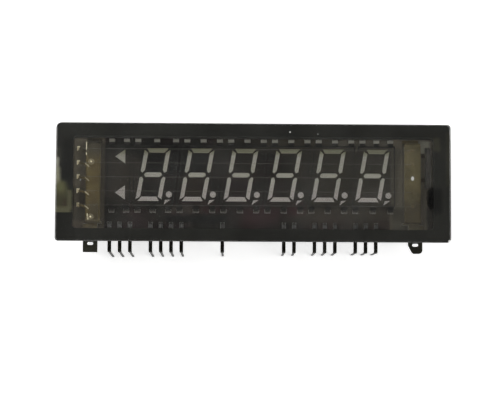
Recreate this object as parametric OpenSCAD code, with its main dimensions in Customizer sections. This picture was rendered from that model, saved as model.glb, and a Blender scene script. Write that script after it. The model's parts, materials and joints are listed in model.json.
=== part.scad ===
// Vacuum fluorescent display: six slanted seven-segment digits, each with a point and a comma,
// and two pointers at the left. All sizes are in millimetres.
// The viewing face looks along +Z, the digits read along +X and their tops point to +Y.
// The origin is the middle of the viewing face. The leads leave the -Y edge and bend to -Z.

/* [Envelope] */
// Length of the glass envelope, along the digits
glass_w = 95.4; // [94.6:0.1:104]
// Height of the glass envelope, across the digits
glass_h = 28.6; // [28.5:0.1:32]
// Thickness of the front plate
face_t = 1.8; // [1.2:0.1:3]
// Thickness of the rear plate that carries the anodes
base_t = 2.6; // [1.6:0.1:4]
// Clear height between the two plates
cavity_h = 5; // [4.6:0.1:7]
// Thickness of the strips that close the sides
side_t = 2; // [1.4:0.1:2.4]
// Setback of the side strips from the edges of the plates
side_inset = 0.3; // [0.1:0.05:0.5]
// Corner radius of the plates
corner_r = 0.8; // [0.5:0.1:1.5]
// Width of the ground edge round the outer face of each plate
arris = 0.25; // [0.1:0.05:0.4]
// Depth of the chip broken from one front corner
chip_depth = 0.7; // [0.3:0.1:1]
// Radius of the front corner that is ground round
worn_r = 1.7; // [1:0.1:2]

/* [Glass solder] */
// Thickness of each solder joint over and under the side strips
seal_t = 0.5; // [0.4:0.05:0.8]
// Width of the front joint along the long sides
seal_side_w = 3.1; // [2.6:0.1:3.3]
// Width of the front joint at the two ends
seal_end_w = 3.9; // [3.1:0.1:4]
// Width of the rear joint
base_seal_w = 3; // [2.8:0.1:3.1]
// Setback of both joints from the edges of the plates
seal_inset = 0.05; // [0.05:0.05:0.3]

/* [Exhaust] */
// Bore of the exhaust hole through the rear plate
exhaust_d = 2; // [1.5:0.1:2.2]
// Outer diameter of the sealed-off glass tip
tip_d = 3.4; // [3:0.1:4]
// Height of the tip behind the rear plate
tip_h = 2.6; // [2:0.1:2.8]

/* [Digits] */
// Height of a digit
digit_h = 13.1; // [12:0.1:13.3]
// Width of a digit, before it is slanted
digit_w = 6.4; // [6:0.1:6.8]
// Distance from digit to digit
digit_pitch = 10.9; // [10.6:0.05:11]
// Slant of the digits, in degrees
digit_slant = 10; // [6:1:11]
// Width of the stroke of a level segment
stroke = 1.1; // [0.9:0.05:1.15]
// Width of the stroke of an upright segment
upright = 1; // [0.9:0.05:1.05]
// Gap between neighbouring segments
segment_gap = 0.4; // [0.3:0.05:0.5]
// Diameter of the decimal points
point_d = 1.5; // [1.2:0.1:1.6]
// Height of a pointer triangle
pointer_h = 3.55; // [3:0.05:4]
// Length of a pointer triangle
pointer_l = 2.5; // [2:0.1:2.8]

/* [Printed layers] */
// Thickness of the wiring on the rear plate
wiring_t = 0.03; // [0.02:0.01:0.05]
// Thickness of the black insulating layer over the wiring
insulation_t = 0.07; // [0.06:0.01:0.12]
// Thickness of the graphite anodes
graphite_t = 0.03; // [0.02:0.01:0.05]
// Thickness of the phosphor on the anodes
phosphor_t = 0.04; // [0.02:0.01:0.06]
// Margin of a graphite anode round its phosphor
graphite_margin = 0.08; // [0.04:0.01:0.1]
// Width of a wiring track
track_w = 0.2; // [0.15:0.01:0.24]

/* [Grids] */
// Height of the grid mesh over the rear plate
grid_z = 0.8; // [0.5:0.05:1.2]
// Thickness of the grid foil
grid_t = 0.05; // [0.04:0.01:0.1]
// Width of the plain rim round a grid
grid_rim = 0.3; // [0.2:0.05:0.4]
// Width of a bar in the mesh
grid_bar = 0.12; // [0.1:0.01:0.2]
// Gap between neighbouring grids
grid_gap = 0.6; // [0.4:0.05:0.8]
// Width of a grid foot
foot_w = 1.35; // [1:0.05:1.5]
// Length of a grid foot
foot_l = 0.85; // [0.6:0.05:0.9]

/* [Filaments] */
// Diameter of a filament wire
filament_d = 0.06; // [0.04:0.01:0.1]
// Height of the filaments over the rear plate
filament_z = 3; // [2.6:0.1:3.4]
// Distance from filament to filament
filament_pitch = 3.45; // [3:0.05:3.5]
// Rise of the spring fingers from their support to the filaments
spring_rise = 0.55; // [0.4:0.05:0.9]

/* [Leads] */
// Distance between lead positions
lead_pitch = 2.54; // [2.5:0.01:2.54]
// Thickness of the lead sheet
lead_t = 0.25; // [0.2:0.01:0.3]
// Width of a lead as far as its bend
shoulder_w = 0.9; // [0.7:0.05:1.1]
// Width of a lead after its bend
tail_w = 0.55; // [0.4:0.05:0.6]
// Distance the leads stand out below the glass
lead_out = 2.8; // [2:0.1:3.2]
// Inner radius of the lead bend
bend_r = 0.5; // [0.3:0.05:0.8]
// Reach of the leads behind the rear plate
lead_below = 4.2; // [3.2:0.1:5]
// Outward lean of the tail of the leftmost lead, in degrees
splay_left = 12; // [0:1:15]
// Outward lean of the tail of the rightmost lead, in degrees
splay_right = 5; // [0:1:15]
// Width of the two filament tabs
tab_w = 3.6; // [3:0.1:3.8]

/* [Hidden] */
$fn = 48;

// Levels, from the viewing face at zero down to the back.
z_face = -face_t;
z_side_top = z_face - seal_t;
z_base = z_face - cavity_h;
z_side_bottom = z_base + seal_t;
z_back = z_base - base_t;
z_wiring = z_base + wiring_t;
z_insulation = z_base + insulation_t;
z_graphite = z_insulation + graphite_t;
z_grid = z_base + grid_z;
z_filament = z_base + filament_z;

// Inner edges of the rear joint, and the clearances to it.
edge_y = -glass_h / 2;
seal_inner_x = glass_w / 2 - base_seal_w;
seal_inner_y = edge_y + base_seal_w;
foot_clear = 0.2;
pad_clear = 0.3;
pad_l = 1.3;

// Height that the digits, feet and pads leave free. It is shared by the parts that spread with it:
// the mesh over and under the digits, the legs of the feet, and the lanes of the wiring.
mesh_over = 0.75;
mesh_under = 1.25;
leg_share = 0.75;
lane_share = 2.5;
free_h = glass_h - 2 * base_seal_w - digit_h - 2 * foot_l - pad_l - foot_clear - pad_clear;
spread = free_h / (mesh_over + mesh_under + 2 * leg_share + lane_share);
leg_run = leg_share * spread;
lane_pitch = lane_share * spread / 7;

// Layout of the digits and pointers.
digits_mid_x = 2.35;
digit_count = 6;
half_w = digit_w / 2;
half_h = digit_h / 2;
digit_y = -seal_inner_y - foot_clear - foot_l - leg_run - mesh_over * spread - half_h;
point_at = [half_w + 0.78, 1.65 - half_h];
comma_tail = [for (p = [[-0.93, -1.38], [0.42, -1.26], [-1.28, -2.5]]) point_at + p];
comma_via = point_at + [-0.53, -1.82];
pointer_tip_x = digit_x(1) - 9.4;
pointer_ys = [digit_y + 4.47, digit_y - 4.48];
filament_mid_y = digit_y - 0.8;

// Outline of the grids.
grid_top = digit_y + half_h + mesh_over * spread;
grid_bottom = digit_y - half_h - mesh_under * spread;
grid_shift = 0.7;
grid_lean = tan(5.9);
pointer_grid_left = pointer_tip_x - 1.9;
foot_inset = 1.1;
z_foot = z_base + 0.16;
foot_top_y = grid_top + leg_run + foot_l / 2;
foot_bottom_y = grid_bottom - leg_run - foot_l / 2;
window_margin = 0.05;

// Leads, as positions on a row centred on the glass.
lead_slots = [-14, -13, -12, -10, -9, -8, -7, -3, 3, 4, 6, 7, 8, 10, 11, 12];
lead_count = len(lead_slots);
pad_y = seal_inner_y + pad_clear + pad_l / 2;
lead_end_y = pad_y + 0.35;
bond_l = 0.4;
bend_y = edge_y - lead_out + lead_t + bend_r;
bend_z = z_base + wiring_t - bend_r;

// Filament supports and the getter, placed from the rear joint.
support_x = seal_inner_x - 4.4;
spring_shelf_x = 5.35 - seal_inner_x;
spring_shelf_w = 3.5;
fixed_shelf_x = seal_inner_x - 5.7;
fixed_shelf_w = 4;
shelf_clear = 0.3;
nest_pitch = 0.42;
riser_y = seal_inner_y + 1.6;
support_top_y = -seal_inner_y - 1.2;
support_foot_l = 0.9;
support_bend_r = 0.3;
z_spring_shelf = z_filament - filament_d / 2 - spring_rise - lead_t;
z_fixed_shelf = z_filament - filament_d / 2 - lead_t;
spring_t = 0.1;
finger_reach = 2.1;
finger_drop = 1.3;
finger_x = spring_shelf_x - spring_shelf_w / 2 + 0.3;
weld_t = 0.08;
holder_t = 0.15;
getter_x = seal_inner_x - 1.95;
getter_w = 1.3;
getter_len = 10;
getter_y = filament_mid_y + 2.6;
mirror_at = [seal_inner_x - 1.7, filament_mid_y - 4.9];
exhaust_at = [fixed_shelf_x, seal_inner_y + 3.4];

// Colours of the preview.
clear_glass = [0.75, 0.82, 0.8, 0.35];
black_glass = [0.09, 0.09, 0.09];
sheet_metal = [0.55, 0.48, 0.33];
tinned = [0.35, 0.35, 0.34];
phosphor_grey = [0.72, 0.72, 0.66];

// Helpers.
function lerp(a, b, t) = a + (b - a) * t;
function flip_x(pts) = [for (p = pts) [-p.x, p.y]];
function flip_y(pts) = [for (p = pts) [p.x, -p.y]];
function slanted(pts) = [for (p = pts) [p.x + p.y * tan(digit_slant), p.y]];
function middle(pts, i = 0, sum = [0, 0]) =
  i == len(pts) ? sum / len(pts) : middle(pts, i + 1, sum + pts[i]);
function side_of(v) = abs(v) < 0.05 ? 0 : sign(v);
function grown(pts, by) =
  let (c = middle(pts))
  [for (p = pts) [p.x + by * side_of(p.x - c.x), p.y + by * side_of(p.y - c.y)]];

// Positions.
function digit_x(k) = digits_mid_x + (k - (digit_count + 1) / 2) * digit_pitch;
function filament_y(k) = filament_mid_y + (3 - k) * filament_pitch;
function lead_x(i) = lead_slots[i - 1] * lead_pitch;
function lane_y(j) = pad_y + pad_l / 2 + (j + 1) * lane_pitch;

// The seven segments in the order a to g, before the slant.
segment_a = [
  [-half_w + 1.4 * segment_gap, half_h],
  [half_w - 1.4 * segment_gap, half_h],
  [half_w - stroke - 0.6 * segment_gap, half_h - stroke],
  [-half_w + stroke + 0.6 * segment_gap, half_h - stroke]
];
segment_f = [
  [-half_w, 2 * segment_gap],
  [-half_w, half_h - segment_gap],
  [-half_w + upright, half_h - stroke],
  [-half_w + upright, stroke / 2 + 1.6 * segment_gap],
  [-half_w + upright / 2, 1.2 * segment_gap]
];
segment_g = [
  [-half_w + 0.86 * stroke, 0],
  [-half_w + 1.3 * stroke, stroke / 2],
  [half_w - 1.3 * stroke, stroke / 2],
  [half_w - 0.86 * stroke, 0],
  [half_w - 1.3 * stroke, -stroke / 2],
  [-half_w + 1.3 * stroke, -stroke / 2]
];
segment_b = flip_x(segment_f);
segment_c = flip_y(segment_b);
segment_d = flip_y(segment_a);
segment_e = flip_y(segment_f);
segments = [segment_a, segment_b, segment_c, segment_d, segment_e, segment_f, segment_g];

// Heights of the nine anode lines over the middle of a digit: a to g, point, comma.
via_ys = [
  half_h - stroke / 2, 0.37 * half_h, -0.5 * half_h, -half_h + stroke / 2, -0.3 * half_h, 0.6 * half_h, 0,
  point_at.y, comma_via.y
];
via_w = 0.4;
stroke_x = half_w - upright / 2;
via_sides = [0, 1, 1, 0, -1, -1, 0];
function via_at(s) =
  s == 7 ? point_at :
  s == 8 ? comma_via :
  [via_sides[s] * stroke_x + via_ys[s] * tan(digit_slant), via_ys[s]];
pointer_lines = [5, 7];
function pointer_via(i) = [pointer_tip_x + 0.72 * pointer_l, digit_y + via_ys[pointer_lines[i]]];

// Side edges of the grids: 0 is left of the first digit, 6 is right of the last.
function grid_edge_x(i, y) =
  i == 0 ? digit_x(1) - digit_pitch / 2 + 0.3 :
  i == digit_count ? digit_x(i) + digit_pitch / 2 + 0.4 :
  digit_x(i) + digit_pitch / 2 + grid_shift + (y - digit_y) * grid_lean;
function grid_left(k, y) = k == 0 ? pointer_grid_left : grid_edge_x(k - 1, y) + grid_gap / 2;
function grid_right(k, y) = grid_edge_x(k, y) - grid_gap / 2;
function grid_point(k, u, v) =
  let (y = lerp(grid_bottom, grid_top, v)) [lerp(grid_left(k, y), grid_right(k, y), u), y];
function feet_x(k, y) =
  let (a = grid_left(k, y) + foot_inset, b = grid_right(k, y) - foot_inset)
  k == 0 ? [a, b] : [a, (a + b) / 2, b];

// A plate with round corners and a ground edge round its upper face.
module ground_plate(t) {
  x = glass_w - 2 * corner_r;
  y = glass_h - 2 * corner_r;
  linear_extrude(t - arris) rounded_rect(glass_w, glass_h, corner_r);
  translate([0, 0, t - arris]) {
    along_x(0, x) bevelled(glass_h);
    rotate(90) along_x(0, y) bevelled(glass_w);
    for (i = [-1, 1]) {
      for (j = [-1, 1]) {
        translate([i * x / 2, j * y / 2]) cylinder(h = arris, r1 = corner_r, r2 = corner_r - arris);
      }
    }
  }
}

module bevelled(w) {
  polygon([[-w / 2, 0], [w / 2, 0], [w / 2 - arris, arris], [-w / 2 + arris, arris]]);
}

module rounded_rect(w, h, r) {
  square([w - 2 * r, h], center = true);
  square([w, h - 2 * r], center = true);
  for (i = [-1, 1]) {
    for (j = [-1, 1]) {
      translate([i * (w / 2 - r), j * (h / 2 - r)]) circle(r);
    }
  }
}

// Draws a profile given as [y, z] and gives it a width along X, centred on x.
module along_x(x, w) {
  translate([x - w / 2, 0, 0]) rotate([90, 0, 90]) linear_extrude(w) children();
}

module box(x, y, z, size) {
  translate([x - size.x / 2, y - size.y / 2, z]) cube(size);
}

module flat(at, size) {
  translate(at) square(size, center = true);
}

// Glass envelope.
module face_plate() {
  color(clear_glass)
    difference() {
      translate([0, 0, z_face]) ground_plate(face_t);
      translate([glass_w / 2, edge_y, 0])
        rotate([0, 0, -45])
          rotate([0, -40, 0])
            translate([-chip_depth, -3, -4]) cube([6, 6, 8]);
      worn_corner();
    }
}

// What is ground off the upper left corner of the front plate and of the joint under it.
module worn_corner() {
  back = worn_r - 0.05;
  translate([back - glass_w / 2, glass_h / 2 - back, z_side_top - 1])
    linear_extrude(face_t + seal_t + 2)
      rotate(90)
        difference() {
          square(worn_r + 1);
          circle(worn_r);
        }
}

module base_plate() {
  color(clear_glass)
    difference() {
      translate([0, 0, z_base]) mirror([0, 0, 1]) ground_plate(base_t);
      translate([exhaust_at.x, exhaust_at.y, z_back - 1]) cylinder(h = base_t + 2, d = exhaust_d);
    }
}

module side_strip(w, h) {
  color(clear_glass) translate([-w / 2, -h / 2, z_side_bottom]) cube([w, h, z_side_top - z_side_bottom]);
}

module long_side(dir) {
  translate([0, dir * (glass_h / 2 - side_inset - side_t / 2), 0])
    side_strip(glass_w - 2 * side_inset, side_t);
}

module end_side(dir) {
  translate([dir * (glass_w / 2 - side_inset - side_t / 2), 0, 0])
    side_strip(side_t, glass_h - 2 * side_inset - 2 * side_t);
}

module side_plate_top() { long_side(1); }
module side_plate_bottom() { long_side(-1); }
module side_plate_left() { end_side(-1); }
module side_plate_right() { end_side(1); }

module seal_ring(end_w, side_w) {
  difference() {
    rounded_rect(glass_w - 2 * seal_inset, glass_h - 2 * seal_inset, corner_r - seal_inset);
    rounded_rect(glass_w - 2 * end_w, glass_h - 2 * side_w, 1);
  }
}

module face_seal() {
  color(black_glass)
    difference() {
      translate([0, 0, z_side_top]) linear_extrude(seal_t) seal_ring(seal_end_w, seal_side_w);
      worn_corner();
    }
}

module base_seal() {
  color(black_glass)
    difference() {
      translate([0, 0, z_base]) linear_extrude(seal_t) seal_ring(base_seal_w, base_seal_w);
      for (i = [1 : lead_count]) {
        lead_slot(lead_x(i), shoulder_w);
      }
      for (dir = [-1, 1]) {
        lead_slot(dir * support_x, tab_w);
      }
    }
}

module lead_slot(x, w) {
  box(x, edge_y + base_seal_w / 2, z_wiring, [w, base_seal_w + 1, lead_t]);
}

module exhaust_tip() {
  r = tip_d / 2;
  bore = exhaust_d / 2;
  color(clear_glass)
    translate([exhaust_at.x, exhaust_at.y, z_back])
      rotate_extrude()
        polygon([
          [bore, 0], [r, 0], [r, -0.3 * tip_h], [0.6 * r, -0.68 * tip_h], [0.22 * r, -tip_h],
          [0, -tip_h], [0, -0.6 * tip_h], [bore, -0.25 * tip_h]
        ]);
}

module tip_seal() {
  r = tip_d / 2;
  color(black_glass)
    translate([exhaust_at.x, exhaust_at.y, z_back])
      rotate_extrude() polygon([[r, 0], [r + 0.5, 0], [r + 0.4, -0.2], [r, -0.45]]);
}

// Printed layers on the rear plate.
// A track along level and upright stretches: one side of it forwards, then the other side back.
function heading(pts, i) = (pts[i + 1] - pts[i]) / norm(pts[i + 1] - pts[i]);
function left_of(d) = [-d.y, d.x];
function track_side(pts, w) = [
  for (i = [0 : len(pts) - 1])
    pts[i] + w * (
      i == 0 ? left_of(heading(pts, 0)) :
      i == len(pts) - 1 ? left_of(heading(pts, i - 1)) :
      left_of(heading(pts, i - 1) + heading(pts, i))
    )
];
module run(pts) {
  back = track_side(pts, -track_w / 2);
  polygon(concat(track_side(pts, track_w / 2), [for (i = [len(back) - 1 : -1 : 0]) back[i]]));
}

// A line that joins one anode of every digit, from its own end of the row round to a lead.
module anode_line(s, nest_x, lane, lead) {
  y = digit_y + via_ys[s];
  first = s == pointer_lines[0] || s == pointer_lines[1] ? pointer_tip_x + 0.72 * pointer_l
    : digit_x(1) + via_at(s).x;
  far_x = nest_x < 0 ? digit_x(digit_count) + via_at(s).x + via_w / 2 : first - via_w / 2;
  run([
    [far_x, y], [nest_x, y], [nest_x, lane_y(lane)], [lead_x(lead), lane_y(lane)], [lead_x(lead), pad_y]
  ]);
}

module grid_line(foot_x, lane, lead) {
  y = lane_y(lane);
  run([[foot_x, foot_bottom_y], [foot_x, y], [lead_x(lead), y], [lead_x(lead), pad_y]]);
}

function bottom_foot(k, i) = feet_x(k, foot_bottom_y)[i];
function nest_left(i) = spring_shelf_x + spring_shelf_w / 2 + shelf_clear + i * nest_pitch;
function nest_right(i) = fixed_shelf_x - fixed_shelf_w / 2 - shelf_clear - i * nest_pitch;

module comma_line() {
  y = digit_y + via_ys[8];
  x = (bottom_foot(4, 0) + bottom_foot(4, 1)) / 2;
  run([[digit_x(1) + comma_via.x - via_w / 2, y], [digit_x(digit_count) + comma_via.x + via_w / 2, y]]);
  run([[x, y], [x, lane_y(3)], [lead_x(9), lane_y(3)], [lead_x(9), pad_y]]);
}

module tracks() {
  anode_line(0, nest_left(0), 0, 1);
  anode_line(5, nest_left(1), 1, 2);
  anode_line(6, nest_left(2), 2, 3);
  anode_line(4, nest_left(3), 3, 4);
  grid_line(bottom_foot(0, 1), 4, 5);
  grid_line(bottom_foot(1, 1), 5, 6);
  grid_line(bottom_foot(2, 0), 3, 7);
  grid_line(bottom_foot(3, 0), 3, 8);
  comma_line();
  grid_line(bottom_foot(4, 2), 3, 10);
  grid_line(bottom_foot(5, 0), 3, 11);
  grid_line(bottom_foot(6, 0), 4, 12);
  anode_line(3, nest_right(3), 3, 13);
  anode_line(7, nest_right(2), 2, 14);
  anode_line(2, nest_right(1), 1, 15);
  anode_line(1, nest_right(0), 0, 16);
}

module at_feet() {
  for (k = [0 : digit_count]) {
    for (x = feet_x(k, foot_top_y)) {
      translate([x, foot_top_y]) children();
    }
    for (x = feet_x(k, foot_bottom_y)) {
      translate([x, foot_bottom_y]) children();
    }
  }
}

module at_leads() {
  for (i = [1 : lead_count]) {
    translate([lead_x(i), pad_y]) children();
  }
}

module at_vias() {
  for (k = [1 : digit_count]) {
    for (s = [0 : 8]) {
      translate([digit_x(k) + via_at(s).x, digit_y + via_at(s).y]) children();
    }
  }
  for (i = [0, 1]) {
    translate(pointer_via(i)) children();
  }
}

module wiring_plan() {
  tracks();
  at_feet() square([foot_w, foot_l], center = true);
  at_leads() square([shoulder_w, pad_l], center = true);
}

module wiring_layer() {
  color([0.78, 0.78, 0.76]) translate([0, 0, z_base]) linear_extrude(wiring_t) wiring_plan();
}

module insulation_plan() {
  difference() {
    rounded_rect(glass_w - 2 * base_seal_w, glass_h - 2 * base_seal_w, 1);
    at_vias() square(via_w, center = true);
    at_feet() square([foot_w + 2 * window_margin, foot_l + 2 * window_margin], center = true);
    for (i = [1 : lead_count]) {
      lead_window(lead_x(i), shoulder_w, lead_end_y + bond_l + window_margin);
    }
    for (dir = [-1, 1]) {
      lead_window(dir * support_x, tab_w, riser_y - support_bend_r + window_margin);
    }
    riser_window(spring_shelf_x, spring_shelf_w);
    riser_window(fixed_shelf_x, fixed_shelf_w);
    translate(exhaust_at) circle(d = exhaust_d);
  }
}

module lead_window(x, w, top_y) {
  bottom_y = seal_inner_y - 0.5;
  flat([x, (top_y + bottom_y) / 2], [w + 2 * window_margin, top_y - bottom_y]);
}

module riser_window(x, w) {
  l = lead_t + support_bend_r + window_margin;
  flat([x, riser_y + lead_t - l / 2], [w + 2 * window_margin, l]);
}

module insulating_layer() {
  color([0.07, 0.06, 0.06])
    translate([0, 0, z_wiring]) linear_extrude(insulation_t - wiring_t) insulation_plan();
}

module segment_plan(s, by) {
  polygon(slanted(grown(segments[s], by)));
}

module pointer_plan(i, by) {
  tip = pointer_tip_x;
  base_x = pointer_tip_x + pointer_l;
  polygon([
    [tip - 2 * by, pointer_ys[i]],
    [base_x + by, pointer_ys[i] + pointer_h / 2 + 2 * by],
    [base_x + by, pointer_ys[i] - pointer_h / 2 - 2 * by]
  ]);
}

// The nine anodes of one digit, grown by a margin.
module digit_plan(k, by) {
  translate([digit_x(k), digit_y]) {
    for (s = [0 : 6]) {
      segment_plan(s, by);
    }
    translate(point_at) circle(d = point_d + 2 * by);
    polygon(grown(comma_tail, by));
  }
}

module anode_pads() {
  color([0.16, 0.16, 0.17]) {
    translate([0, 0, z_insulation])
      linear_extrude(graphite_t) {
        for (k = [1 : digit_count]) {
          digit_plan(k, graphite_margin);
        }
        for (i = [0, 1]) {
          pointer_plan(i, graphite_margin);
        }
      }
    translate([0, 0, z_wiring])
      linear_extrude(insulation_t - wiring_t) at_vias() square(via_w, center = true);
  }
}

module digit(k) {
  color(phosphor_grey) translate([0, 0, z_graphite]) linear_extrude(phosphor_t) digit_plan(k, 0);
}

module digit_1() { digit(1); }
module digit_2() { digit(2); }
module digit_3() { digit(3); }
module digit_4() { digit(4); }
module digit_5() { digit(5); }
module digit_6() { digit(6); }

module pointers() {
  color(phosphor_grey)
    translate([0, 0, z_graphite])
      linear_extrude(phosphor_t) {
        pointer_plan(0, 0);
        pointer_plan(1, 0);
      }
}

// Grids: a rim filled with a mesh that leans with the digits, on feet bent down to the rear plate.
module grid_plan(k) {
  w = grid_right(k, digit_y) - grid_left(k, digit_y);
  h = grid_top - grid_bottom;
  nx = k == 0 ? 4 : 8;
  ny = 11;
  du = (1 - 2 * grid_rim / w) / nx;
  dv = (1 - 2 * grid_rim / h) / ny;
  bu = grid_bar / w / 2;
  bv = grid_bar / h / 2;
  u0 = grid_rim / w;
  v0 = grid_rim / h;
  difference() {
    polygon([grid_point(k, 0, 0), grid_point(k, 1, 0), grid_point(k, 1, 1), grid_point(k, 0, 1)]);
    for (i = [0 : nx - 1]) {
      for (j = [0 : ny - 1]) {
        ua = u0 + i * du + bu;
        ub = u0 + (i + 1) * du - bu;
        va = v0 + j * dv + bv;
        vb = v0 + (j + 1) * dv - bv;
        polygon([for (c = [[ua, va], [ub, va], [ub, vb], [ua, vb]]) grid_point(k, c[0], c[1])]);
      }
    }
  }
}

// One bent foot, outwards along +Y from an edge of the mesh at y.
module foot_profile(y) {
  polygon([
    [y - grid_rim, z_grid], [y, z_grid],
    [y + leg_run, z_foot], [y + leg_run + foot_l, z_foot],
    [y + leg_run + foot_l, z_foot + grid_t], [y + leg_run + grid_t / 2, z_foot + grid_t],
    [y + grid_t / 2, z_grid + grid_t], [y - grid_rim, z_grid + grid_t]
  ]);
}

module grid(k) {
  color([0.3, 0.29, 0.28]) {
    translate([0, 0, z_grid]) linear_extrude(grid_t) grid_plan(k);
    for (x = feet_x(k, foot_top_y)) {
      along_x(x, foot_w) foot_profile(grid_top);
    }
    for (x = feet_x(k, foot_bottom_y)) {
      along_x(x, foot_w) mirror([1, 0]) foot_profile(-grid_bottom);
    }
  }
}

module pointer_grid() { grid(0); }
module digit_grid_1() { grid(1); }
module digit_grid_2() { grid(2); }
module digit_grid_3() { grid(3); }
module digit_grid_4() { grid(4); }
module digit_grid_5() { grid(5); }
module digit_grid_6() { grid(6); }

module grid_bonds() {
  color([0.6, 0.6, 0.58])
    translate([0, 0, z_wiring])
      linear_extrude(z_foot - z_wiring) at_feet() square([foot_w - 0.1, foot_l - 0.1], center = true);
}

module lead_bonds() {
  color([0.6, 0.6, 0.58])
    for (i = [1 : lead_count]) {
      box(lead_x(i), lead_end_y + bond_l / 2, z_wiring, [shoulder_w - 0.1, bond_l, lead_t]);
    }
}

// Leads.
// A sheet bent on an inner radius: a quarter that starts at turn, short of its end by some degrees.
module bend(at, turn, r, short = 0) {
  translate(at)
    intersection() {
      difference() {
        circle(r + lead_t);
        circle(r);
      }
      rotate(turn) square(r + lead_t + 1);
      rotate(turn - short) square(r + lead_t + 1);
    }
}

module lead_profile_flat(splay) {
  translate([bend_y, z_wiring]) square([lead_end_y - bend_y, lead_t]);
  bend([bend_y, bend_z], 90, bend_r, splay);
}

module lead_profile_tail(splay) {
  tail_l = (bend_z + bend_r * sin(splay) - z_back + lead_below) / cos(splay);
  translate([bend_y, bend_z]) rotate(180 - splay) translate([bend_r, 0]) square([lead_t, tail_l]);
}

module lead(i) {
  x = lead_x(i);
  splay = lerp(splay_left, splay_right, (x - lead_x(1)) / (lead_x(lead_count) - lead_x(1)));
  color(tinned) {
    along_x(x, shoulder_w) lead_profile_flat(splay);
    along_x(x, tail_w) lead_profile_tail(splay);
  }
}

module lead_01() { lead(1); }
module lead_02() { lead(2); }
module lead_03() { lead(3); }
module lead_04() { lead(4); }
module lead_05() { lead(5); }
module lead_06() { lead(6); }
module lead_07() { lead(7); }
module lead_08() { lead(8); }
module lead_09() { lead(9); }
module lead_10() { lead(10); }
module lead_11() { lead(11); }
module lead_12() { lead(12); }
module lead_13() { lead(13); }
module lead_14() { lead(14); }
module lead_15() { lead(15); }
module lead_16() { lead(16); }

// Filament supports: a tab that leaves the glass, a riser, a shelf and a foot at the far end.
module tab_slot(x) {
  y = edge_y - 0.65;
  flat([x, y], [0.8, 0.7]);
  for (i = [-1, 1]) {
    translate([x + i * 0.4, y]) circle(0.35);
  }
}

module square_tab(x) {
  top_y = riser_y - support_bend_r;
  low_y = edge_y - lead_out;
  flat([x, (top_y + low_y) / 2], [tab_w, top_y - low_y]);
}

module cut_tab(x) {
  r = 1;
  left = x - tab_w / 2;
  right = x + tab_w / 2;
  top_y = riser_y - support_bend_r;
  low_y = edge_y - lead_out;
  polygon([
    [left, top_y], [left, edge_y - 0.7], [left + 0.9, low_y + 0.4], [left + 1.3, low_y],
    [right - r, low_y], [right - r, low_y + r], [right, low_y + r], [right, top_y]
  ]);
  translate([right - r, low_y + r]) circle(r);
}

module support_profile(z_shelf) {
  r = support_bend_r;
  near = lead_t + r;
  far_y = support_top_y - lead_t;
  bend([riser_y - r, z_wiring + near], -90, r);
  translate([riser_y, z_wiring + near]) square([lead_t, z_shelf - r - z_wiring - near]);
  bend([riser_y + near, z_shelf - r], 90, r);
  translate([riser_y + near, z_shelf]) square([far_y - r - riser_y - near, lead_t]);
  bend([far_y - r, z_shelf - r], 0, r);
  translate([far_y, z_insulation + near]) square([lead_t, z_shelf - r - z_insulation - near]);
  bend([support_top_y + r, z_insulation + near], 180, r);
  translate([support_top_y + r, z_insulation]) square([support_foot_l - r, lead_t]);
}

module spring_support() {
  color(sheet_metal) {
    translate([0, 0, z_wiring])
      linear_extrude(lead_t)
        difference() {
          square_tab(-support_x);
          tab_slot(-support_x);
        }
    along_x(spring_shelf_x, spring_shelf_w) support_profile(z_spring_shelf);
  }
}

module fixed_support() {
  color(sheet_metal) {
    translate([0, 0, z_wiring])
      linear_extrude(lead_t)
        difference() {
          cut_tab(support_x);
          tab_slot(support_x);
        }
    along_x(fixed_shelf_x, fixed_shelf_w) support_profile(z_fixed_shelf);
  }
}

// A comb welded on the shelf: every finger slopes out and up to the end of its filament.
module filament_springs() {
  z = z_spring_shelf + lead_t;
  tip_z = z_filament - filament_d / 2 - spring_t;
  strip_w = spring_shelf_w - 0.8;
  color([0.75, 0.68, 0.5]) {
    box(spring_shelf_x, filament_mid_y - 1.9, z, [strip_w, 4 * filament_pitch + 3.4, spring_t]);
    for (k = [1 : 5]) {
      finger(filament_y(k), z, tip_z);
    }
    for (steps = [1.09, -2.84]) {
      translate([spring_shelf_x, filament_mid_y + steps * filament_pitch, z + spring_t])
        cylinder(h = 0.06, d = 0.8);
    }
  }
}

module finger(y, root_z, tip_z) {
  tip_x = finger_x - finger_reach;
  hull() {
    box(finger_x + 0.35, y - finger_drop, root_z, [0.4, 0.8, spring_t]);
    box(tip_x + 0.25, y, tip_z, [0.1, 0.6, spring_t]);
  }
  box(tip_x, y, tip_z, [0.5, 1.1, spring_t]);
}

module filament(k) {
  left = finger_x - finger_reach - 0.2;
  right = fixed_shelf_x + 0.5;
  color([0.7, 0.7, 0.68])
    translate([left, filament_y(k), z_filament])
      rotate([0, 90, 0]) rotate(22.5) cylinder(h = right - left, r = filament_d / 2 / cos(22.5), $fn = 8);
}

module filament_1() { filament(1); }
module filament_2() { filament(2); }
module filament_3() { filament(3); }
module filament_4() { filament(4); }
module filament_5() { filament(5); }

module filament_welds() {
  color([0.8, 0.78, 0.7])
    for (k = [1 : 5]) {
      box(finger_x - finger_reach, filament_y(k), z_filament + filament_d / 2, [0.35, 0.6, weld_t]);
      box(fixed_shelf_x, filament_y(k), z_filament + filament_d / 2, [0.8, 0.6, weld_t]);
    }
}

// Getter: a filled channel on two arms welded under the fixed support, and the mirror it left.
module getter_holder() {
  inner_x = fixed_shelf_x + 1;
  outer_x = getter_x + getter_w / 2;
  color(sheet_metal)
    for (dy = [-1, 1]) {
      translate([inner_x, getter_y + dy * 0.3 * getter_len - 0.5, z_fixed_shelf - holder_t])
        cube([outer_x - inner_x, 1, holder_t]);
    }
}

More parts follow.
